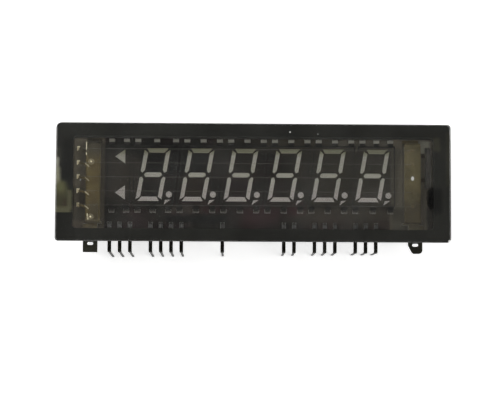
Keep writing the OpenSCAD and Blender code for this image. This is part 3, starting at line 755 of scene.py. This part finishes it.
@dataclass
class SubAssembly:
    """A group of pieces that go together on a bench, and the finishes they wear."""

    paint: Paint
    slots: tuple[Slot, ...] = ()

    def dress(self) -> None:
        """Puts the finishes on the CAD nodes that the record gives them to."""
        for part in frame["record"]["subparts"]:
            slot = Slot(part["material_slot"])
            if slot not in self.slots:
                continue
            node = frame["nodes"][part["node"]]
            if not node.material_slots:
                node.data.materials.append(None)
            for place in node.material_slots:
                place.material = self.paint.of(slot)
            log.info("%s wears %s", part["node"], self.paint.of(slot).name)

    def build(self) -> None:
        """Adds the pieces that the solids are too coarse for. Most groups need none."""

    def piece(
        self, name: str, parts: list[Shape], slot: Slot, node: str, painted_glint: list[Any] | None = None
    ) -> None:
        """Makes a fine piece that stands for a CAD node.

        Args:
            name: The piece's name.
            parts: The shapes of its stretches.
            slot: The record's material slot.
            node: The CAD node it replaces.
            painted_glint: How much painted highlight each stretch has, or each of its points, from 0 to 1.
        """
        points, faces = joined(parts)
        kept, faces = weld(points, faces)
        mesh = bpy.data.meshes.new(name)
        mesh.from_pydata(points[kept].tolist(), [], faces.tolist())
        if painted_glint:
            shares = [np.broadcast_to(share, len(part[0])) for share, part in zip(painted_glint, parts)]
            layer = mesh.attributes.new(PAINTED_GLINT, "FLOAT", "POINT")
            layer.data.foreach_set("value", np.concatenate(shares)[kept])
        mesh.materials.append(self.paint.of(slot))
        made = bpy.data.objects.new(name, mesh)
        bpy.context.scene.collection.objects.link(made)
        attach(made, BODY)
        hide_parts(node)
        log.info("%s has %d faces", name, len(faces))


@dataclass
class Envelope(SubAssembly):
    """Front and rear plates, side strips and exhaust tip, and the solder between them."""

    slots: tuple[Slot, ...] = (Slot.GLASS, Slot.SOLDER)


@dataclass
class AnodePlate(SubAssembly):
    """The printed layers on the rear plate, and the bonds on them."""

    slots: tuple[Slot, ...] = (Slot.WIRING, Slot.INSULATION, Slot.GRAPHITE, Slot.PHOSPHOR, Slot.PASTE)


@dataclass(frozen=True)
class GridOutline:
    """Outline of a grid in its CAD node, in metres.

    Its sides lean, so ends has its lower and upper Y, and left and right have the X of each side at both.
    """

    foot_z: float
    level: float
    thick: float
    ends: np.ndarray
    left: np.ndarray
    right: np.ndarray

    @classmethod
    def read(cls, points: np.ndarray) -> "GridOutline":
        """Reads the outline of a grid.

        Args:
            points: Vertices of the CAD node.

        Returns:
            The outline.
        """
        levels = np.unique(np.round(points[:, 2], DECIMALS))
        flat = points[np.isclose(points[:, 2], levels[-2], atol=SAME)]
        ends = np.array([flat[:, 1].min(), flat[:, 1].max()])
        rows = [flat[np.isclose(flat[:, 1], end, atol=SAME), 0] for end in ends]
        left = np.array([row.min() for row in rows])
        right = np.array([row.max() for row in rows])
        return cls(levels[0], levels[-2], levels[-1] - levels[-2], ends, left, right)

    @property
    def size(self) -> np.ndarray:
        """Mean width, and height."""
        return np.array([(self.right - self.left).mean(), self.ends[1] - self.ends[0]])

    def leaning(self, flat: np.ndarray, z: float) -> np.ndarray:
        """Carries points of an upright rectangle of this size into the outline.

        A point at the shares u and v of the rectangle's sides goes to the share u of the way from the left
        side to the right, both taken at the share v of the way up.

        Args:
            flat: X and Y in the rectangle, along the last axis.
            z: Their level.

        Returns:
            The points.
        """
        width, height = self.size
        u = flat[..., 0] / width
        v = flat[..., 1] / height
        left = self.left[0] + (self.left[1] - self.left[0]) * v
        right = self.right[0] + (self.right[1] - self.right[0]) * v
        x = left * (1 - u) + right * u
        return np.stack([x, self.ends[0] + v * height, np.full_like(x, z)], -1)


@dataclass
class GridRow(SubAssembly):
    """The seven control grids: plain rims, a honeycomb mesh that leans with the digits, and bent feet.

    A real mesh has cells of about 0.3 mm with bars of 0.03 mm. It is drawn coarser, so that its cells show.
    What is left of a cell at the rim is left out if its area is under scrap times the square of cell.
    """

    slots: tuple[Slot, ...] = (Slot.FOIL,)
    nodes: tuple[str, ...] = ("pointer_grid", *(f"digit_grid_{k}" for k in range(1, 7)))
    cell: float = 0.42 * MM
    bar: float = 0.042 * MM
    scrap: float = 0.05
    rim: float = 0.3 * MM
    bend_steps: int = 9

    def build(self) -> None:
        """Builds the seven grids, each in the outline of its CAD node."""
        for node in self.nodes:
            points = node_points(node)
            grid = GridOutline.read(points)
            self.piece(f"fine_{node}", self.foil(grid) + self.feet(grid, points), Slot.FOIL, node)

    def honeycomb(self, width: float, height: float) -> np.ndarray:
        """Six-sided openings in a rectangle.

        Row j and column i have their centre at ((i + half of j mod 2) cell, j cell root(3) / 2), with six
        corners around it. An opening is its cell drawn in by half a bar, and clipped to the rectangle.

        Args:
            width: Size of the rectangle along its first side.
            height: Size along its second side.

        Returns:
            Corners as (cell, opening or cell, corner, axis).
        """
        step = self.cell * math.sqrt(3) / 2
        column, row = np.meshgrid(np.arange(-1, width / self.cell + 2), np.arange(-1, height / step + 2))
        centre = np.stack([(column + row % 2 / 2) * self.cell, row * step], -1).reshape(-1, 1, 1, 2)
        angle = np.pi / 2 + np.arange(6) * np.pi / 3
        corner = np.stack([np.cos(angle), np.sin(angle)], -1) * self.cell / math.sqrt(3)
        scales = np.array([1 - self.bar / self.cell, 1.0])[:, None, None]
        corners = np.clip(centre + corner * scales, 0, [width, height])
        x, y = corners[:, 1, :, 0], corners[:, 1, :, 1]
        area = (x * np.roll(y, -1, 1) - np.roll(x, -1, 1) * y).sum(1) / 2
        return corners[area > self.scrap * self.cell**2]

    def foil(self, grid: GridOutline) -> list[Shape]:
        """The mesh and the rim of a grid: a honeycomb and a frame in a rectangle, carried into the outline.

        Args:
            grid: The grid's outline.

        Returns:
            The mesh and the rim.
        """
        low = grid.level
        high = grid.level + grid.thick
        cells = self.honeycomb(*(grid.size - 2 * self.rim)) + self.rim
        rings = np.stack([grid.leaning(cells, high), grid.leaning(cells, low)], 1)
        at = np.arange(rings.size // 3).reshape(len(cells), 2, 2, 6)
        after = np.roll(at, -1, 3)
        top = np.stack([at[:, 0, 0], at[:, 0, 1], after[:, 0, 1], after[:, 0, 0]], -1)
        bottom = np.stack([at[:, 1, 0], after[:, 1, 0], after[:, 1, 1], at[:, 1, 1]], -1)
        wall = np.stack([at[:, 0, 0], after[:, 0, 0], after[:, 1, 0], at[:, 1, 0]], -1)
        mesh = rings.reshape(-1, 3), np.concatenate([top, bottom, wall]).reshape(-1, 4)
        outer = np.array([[0, 0], [1, 0], [1, 1], [0, 1]]) * grid.size
        inner = np.clip(outer, self.rim, grid.size - self.rim)
        lines = [grid.leaning(line, z) for z in (low, high) for line in (outer, inner)]
        at = np.arange(4 * len(lines)).reshape(-1, 4)
        after = np.roll(at, -1, 1)
        top = np.stack([at[2], after[2], after[3], at[3]], -1)
        bottom = np.stack([after[0], at[0], at[1], after[1]], -1)
        wall = np.stack([at[0], after[0], after[2], at[2]], -1)
        return [mesh, (np.concatenate(lines), np.concatenate([top, bottom, wall]))]

    def feet(self, grid: GridOutline, points: np.ndarray) -> list[Shape]:
        """The feet: strips that leave the rim level, sink by t t (3 - 2 t) along the leg, and end level.

        Args:
            grid: The grid's outline.
            points: Vertices of the CAD node.

        Returns:
            Each foot.
        """
        low = points[np.isclose(points[:, 2], grid.foot_z, atol=SAME)]
        t = np.linspace(0, 1, self.bend_steps)
        drop = np.concatenate([[0], t * t * (3 - 2 * t), [1]])
        z = grid.level + (grid.foot_z - grid.level) * drop
        parts = []
        for end, out in zip(grid.ends, (-1, 1)):
            row = low[(low[:, 1] - grid.ends.mean()) * out > 0]
            reach = np.abs(row[:, 1] - end)
            run = np.concatenate([[-self.rim], t * reach.min(), [reach.max()]])
            for a, b in np.unique(np.round(row[:, 0], DECIMALS)).reshape(-1, 2):
                path = np.stack([np.full_like(run, (a + b) / 2), end + out * run, z], -1)
                parts.append(strip(path, np.array([out * (a - b), 0, 0]), np.array([0, 0, grid.thick])))
        return parts


@dataclass(frozen=True)
class WeldDimple:
    """A weld dimple: a core and a ring, whose heights fall off as bell curves from their radii.

    Its radius, heights and depth are in metres, and its other lengths are shares of the radius. It gets a
    painted highlight: the core's curve to the power of core_fall, and ring_glint times the ring's.
    """

    radius: float = 0.8 * MM
    core_r: float = 0.36
    ring_r: float = 0.75
    ring_w: float = 0.14
    core_h: float = 0.18 * MM
    ring_h: float = 0.07 * MM
    depth: float = 0.05 * MM
    core_fall: float = 1.5
    ring_glint: float = 0.2
    steps_out: int = 14
    steps_round: int = 28

    def shape(self, place: np.ndarray) -> tuple[Shape, np.ndarray]:
        """Builds the dimple.

        Args:
            place: Its middle, on the flat place that it stands on.

        Returns:
            Points and faces, and how much painted highlight each point has.
        """
        r = np.linspace(0, 1, self.steps_out)
        core = np.exp(-((r / self.core_r) ** 2))
        ring = np.exp(-(((r - self.ring_r) / self.ring_w) ** 2))
        radius = np.concatenate([r, [1, 0]]) * self.radius
        height = np.concatenate([self.core_h * core + self.ring_h * ring, [-self.depth, -self.depth]])
        points, faces = turned(radius, height, self.steps_round)
        glint = np.concatenate([core**self.core_fall + self.ring_glint * ring, [0, 0]])
        return (points + place, faces), np.repeat(glint, self.steps_round)


@dataclass
class Cathode(SubAssembly):
    """Filaments, their supports, the comb of springs that keeps them tight, and their welds. Sizes in metres.

    A head has a painted highlight on its left and upper sides, which glint_from gives as shares of its size
    from its middle.
    """

    slots: tuple[Slot, ...] = (Slot.WIRE, Slot.WELD, Slot.SUPPORT, Slot.SPRING)
    wires: tuple[str, ...] = tuple(f"filament_{k}" for k in range(1, 6))
    sheet: float = 0.1 * MM
    comb_x: float = -39.35 * MM
    comb_w: float = 2.7 * MM
    comb_y: tuple[float, float] = (-9.1 * MM, 8.1 * MM)
    root_x: float = -40.3 * MM
    tip_x: float = -42.9 * MM
    sink: float = 1.2 * MM
    blade_w: tuple[float, float] = (0.8 * MM, 0.55 * MM)
    blade_steps: int = 13
    rib_w: float = 0.26 * MM
    rib_lift: float = 0.2 * MM
    rib_steps: int = 6
    # Shares of a painted highlight on each finger's rib and head, where a lamp would glint.
    rib_glint: tuple[float, ...] = (0.05, 0.35, 0.35, 0.45, 0.6)
    head: tuple[float, float] = (0.7 * MM, 1.1 * MM)
    head_sag: float = 0.3 * MM
    head_glint: tuple[float, ...] = (1.0, 1.0, 0.9, 1.0, 0.5)
    glint_from: tuple[float, float] = (-0.1, 0.2)
    glint_rest: float = 0.05
    dimple: WeldDimple = WeldDimple()
    dimples: tuple[tuple[float, float], ...] = ((-39.8 * MM, 5.1 * MM), (-39.8 * MM, -8.4 * MM))
    # Bright strokes near the comb's lower end: low ribs with a painted highlight.
    bright_strokes: tuple[tuple[float, float, float, float], ...] = (
        (-40.6 * MM, -7.6 * MM, -40.5 * MM, -9.05 * MM),
        (-40.5 * MM, -8.3 * MM, -40.15 * MM, -9.0 * MM),
    )
    stroke_glint: float = 0.75
    fixed_x: float = 39.0 * MM
    weld_half_x: tuple[float, float] = (0.17 * MM, 0.4 * MM)
    weld_half_y: float = 0.3 * MM
    weld_sag: float = 0.1 * MM
    plate_steps: int = 9
    domed_wire: int = 2
    dome_stretch: tuple[float, float, float] = (0.9, 1.3, 1.0)
    dome_steps_up: int = 7
    dome_steps_round: int = 24

    def build(self) -> None:
        """Builds the comb and the welds with their bent and domed forms."""
        low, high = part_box("filament_springs")
        top_z = low.z + self.sheet
        rows = [sum(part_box(wire), Vector()).y / 2 for wire in self.wires]
        path = np.array([[self.comb_x, y, low.z] for y in self.comb_y])
        parts = [(strip(path, np.array([-self.comb_w, 0, 0]), np.array([0, 0, self.sheet])), 0.0)]
        for y, head, rib in zip(rows, self.head_glint, self.rib_glint):
            parts += self.finger(y, low.z, high.z - self.sheet, head, rib)
        parts += [self.dimple.shape(np.array([x, y, top_z])) for x, y in self.dimples]
        for line in self.bright_strokes:
            parts.append((self.rib(np.array(line).reshape(2, 2), top_z), self.stroke_glint))
        shapes, painted_glint = zip(*parts)
        self.piece("fine_filament_springs", list(shapes), Slot.SPRING, "filament_springs", list(painted_glint))
        self.welds(rows)

    def welds(self, rows: list[float]) -> None:
        """Pressed plates over both ends of each wire. The one at the fixed end of the third wire is a dome.

        The dome's profile is a quarter of a circle, stretched along each axis.

        Args:
            rows: The wires' places along Y.
        """
        low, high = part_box("filament_welds")
        thick = high.z - low.z
        plates = [(x, y, half) for y in rows for x, half in zip((self.tip_x, self.fixed_x), self.weld_half_x)]
        parts = []
        for number, (x, y, half) in enumerate(plates):
            points, faces = pillow((half, self.weld_half_y), thick, self.weld_sag, self.plate_steps)
            if number == 2 * self.domed_wire + 1:
                angle = np.linspace(0, np.pi / 2, self.dome_steps_up)
                radius = np.concatenate([np.sin(angle), [0]]) * half
                height = np.concatenate([np.cos(angle), [0]]) * thick
                points, faces = turned(radius, height, self.dome_steps_round)
                points = points * self.dome_stretch
            parts.append((points + [x, y, low.z], faces))
        self.piece("fine_filament_welds", parts, Slot.WELD, "filament_welds")

    def rib(self, line: np.ndarray, z: float) -> Shape:
        """A narrow strip along a line on a flat place, half a sheet high.

        Args:
            line: Points along it, as X and Y.
            z: Level of the flat place.

        Returns:
            Points and faces.
        """
        path = np.column_stack([line, np.full(len(line), z)])
        along = np.gradient(line, axis=0)
        across = np.column_stack([along[:, 1], -along[:, 0], np.zeros(len(line))])
        across *= self.rib_w / np.linalg.norm(across, axis=1, keepdims=True)
        return strip(path, across, np.array([0, 0, self.sheet / 2]))

    def finger(
        self, y: float, low_z: float, tip_z: float, head_glint: float, rib_glint: float
    ) -> list[tuple[Shape, Any]]:
        """One spring: a blade that rises by t t (3 - 2 t), a rib at its root and a pressed head at its tip.

        It runs to the tip in even steps along X. Along Y it lies below the wire by sink (1 - t) (1 - t).

        Args:
            y: The wire's place along Y.
            low_z: Level of the comb's back.
            tip_z: Level of the head.
            head_glint: How much painted highlight the head has.
            rib_glint: How much painted highlight the rib has.

        Returns:
            The blade, the rib and the head, each with its share of painted highlight.
        """
        t = np.linspace(0, 1, self.blade_steps)
        end_x = self.tip_x + self.head[0] / 2
        rise = t * t * (3 - 2 * t)
        flat = np.stack([self.root_x + (end_x - self.root_x) * t, y - self.sink * (1 - t) ** 2], -1)
        path = np.column_stack([flat, low_z + (tip_z - low_z) * rise])
        wide = self.blade_w[0] + (self.blade_w[1] - self.blade_w[0]) * t
        blade = strip(path, np.outer(wide, [0, -1, 0]), np.array([0, 0, self.sheet]))
        points, faces = self.rib(flat[: self.rib_steps] + [0, self.rib_lift], 0.0)
        rib_z = np.repeat(path[: self.rib_steps, 2] + self.sheet, 4)
        rib = points + [0, 0, 1] * rib_z[:, None], faces
        half = (self.head[0] / 2, self.head[1] / 2)
        points, faces = pillow(half, self.sheet, self.head_sag, self.plate_steps)
        side = points[:, :2] / self.head
        glinting = (side[:, 0] < self.glint_from[0]) | (side[:, 1] > self.glint_from[1])
        glint_on_head = head_glint * np.where(glinting, 1.0, self.glint_rest)
        return [(blade, 0.0), (rib, rib_glint), ((points + [self.tip_x, y, tip_z], faces), glint_on_head)]


@dataclass
class Getter(SubAssembly):
    """The getter's channel and compound, and the mirror it left on the glass."""

    slots: tuple[Slot, ...] = (Slot.GETTER, Slot.COMPOUND, Slot.FILM)


@dataclass
class LeadRow(SubAssembly):
    """The sixteen leads."""

    slots: tuple[Slot, ...] = (Slot.LEAD,)


@dataclass
class Studio:
    """Floor, lamps, surroundings and camera. Lengths are in metres."""

    eye: tuple[float, float, float] = (-3.3 * MM, -13.62 * MM, 200 * MM)
    yaw: float = math.radians(-0.69)
    pitch: float = math.radians(2.683)
    roll: float = math.radians(0.319)
    focal_px: float = 832.1
    image_w_px: int = 500
    near_clip: float = 0.01
    floor_half: float = 0.75
    floor_gap: float = 0.02 * MM
    floor_colour: str = "#E9E9E8"
    floor_glow: tuple[float, float] = (0.6, 1.0)
    glow_reach: tuple[float, float] = (0.15, 0.6)
    ambient: float = 0.27
    sky_glow: tuple[float, float] = (1.0, 0.05)
    sky_height: tuple[float, float] = (0.2, 0.8)
    lamps: tuple[tuple[str, tuple[float, float, float], float, float], ...] = (
        ("key", (-0.35, 0.3, 0.4), 0.3, 2.5),
        ("fill", (0.4, -0.1, 0.3), 0.3, 1.1),
    )

    def build(self) -> None:
        """Sets up the whole studio."""
        self.camera()
        self.floor()
        for name, place, size, watts in self.lamps:
            self.lamp(name, place, size, watts)
        self.world()
        bpy.context.scene.view_settings.view_transform = "Standard"
        log.info("studio with %d lamps", len(self.lamps))

    def camera(self) -> None:
        """Looks down on the viewing face, from a little below its middle."""
        data = bpy.data.cameras.new("camera")
        data.lens = self.focal_px / self.image_w_px * data.sensor_width
        data.clip_start = self.near_clip
        eye = bpy.data.objects.new("camera", data)
        turn = Matrix.Rotation(self.yaw, 4, "Y") @ Matrix.Rotation(self.pitch, 4, "X")
        eye.matrix_world = Matrix.Translation(self.eye) @ turn @ Matrix.Rotation(self.roll, 4, "Z")
        bpy.context.scene.collection.objects.link(eye)
        bpy.context.scene.camera = eye

    def floor(self) -> None:
        """A plane through the lead tips and the far lower edge of the rear plate, on which the part lies."""
        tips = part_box("lead_01")[0]
        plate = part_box("base_plate")
        slope = (plate[0].z - tips.z) / (plate[1].y - tips.y)
        level = tips.z - tips.y * slope - self.floor_gap
        half = self.floor_half
        square = ((-half, -half), (half, -half), (half, half), (-half, half))
        mesh = bpy.data.meshes.new("floor")
        mesh.from_pydata([(x, y, level + y * slope) for x, y in square], [], [(0, 1, 2, 3)])
        mesh.materials.append(self.paper())
        floor = bpy.data.objects.new("floor", mesh)
        bpy.context.scene.collection.objects.link(floor)

    def paper(self) -> bpy.types.Material:
        """White paper that takes a shadow near the part, and goes over into the white around it further out.

        Returns:
            The new material.
        """
        material = bpy.data.materials.new("white_paper")
        material.use_nodes = True
        tree = material.node_tree
        tree.nodes.clear()
        place = add(tree, "TexCoord", out="Object")
        far = add(tree, "VectorMath", (place,), "Value", operation="LENGTH")
        level = add(tree, "MapRange", (far, *self.glow_reach, *self.floor_glow))
        path = add(tree, "LightPath").node.outputs
        rays = (path["Is Glossy Ray"], path["Is Transmission Ray"])
        mirrored = add(tree, "Math", rays, operation="SUBTRACT")
        seen = add(tree, "Math", (path["Is Camera Ray"], mirrored), operation="MAXIMUM")
        glow = add(tree, "Math", (seen, level), operation="MULTIPLY")
        paper = add(tree, "BsdfDiffuse", {"Color": linear(self.floor_colour)})
        light = add(tree, "Emission", {"Strength": glow})
        both = add(tree, "AddShader", (paper, light))
        add(tree, "OutputMaterial", {"Surface": both})
        return material

    def lamp(self, name: str, place: tuple[float, float, float], size: float, watts: float) -> None:
        """A square soft lamp aimed at the part.

        Args:
            name: The lamp's name.
            place: Where it hangs.
            size: Length of its side.
            watts: Its power.
        """
        data = bpy.data.lights.new(name, "AREA")
        data.size = size
        data.energy = watts
        lamp = bpy.data.objects.new(name, data)
        lamp.location = place
        lamp.rotation_euler = Vector(place).to_track_quat("Z", "Y").to_euler()
        bpy.context.scene.collection.objects.link(lamp)

    def world(self) -> None:
        """White where it is seen, dim overhead where the glass mirrors it, and soft where it gives light."""
        world = bpy.data.worlds.new("studio")
        bpy.context.scene.world = world
        world.use_nodes = True
        tree = world.node_tree
        tree.nodes.clear()
        path = add(tree, "LightPath").node.outputs
        up = add(tree, "SeparateXYZ", (add(tree, "TexCoord", out="Generated"),), "Z")
        sky = add(tree, "MapRange", (up, *self.sky_height, *self.sky_glow))
        seen = add(tree, "Mix", {"Factor": path["Is Camera Ray"], "A": sky, "B": 1.0})
        lit = add(tree, "Math", (path["Diffuse Depth"], 0.5), operation="GREATER_THAN")
        strength = add(tree, "Mix", {"Factor": lit, "A": seen, "B": self.ambient})
        light = add(tree, "Background", {"Color": linear("#FFFFFF"), "Strength": strength})
        add(tree, "OutputWorld", {"Surface": light})


def main() -> None:
    """Builds the display group by group, then the studio."""
    logging.basicConfig(level=logging.INFO, format="%(name)s: %(message)s")
    paint = Paint()
    for group in (Envelope, AnodePlate, GridRow, Cathode, Getter, LeadRow):
        made = group(paint)
        made.dress()
        made.build()
    Studio().build()


if __name__ == "__main__":
    main()
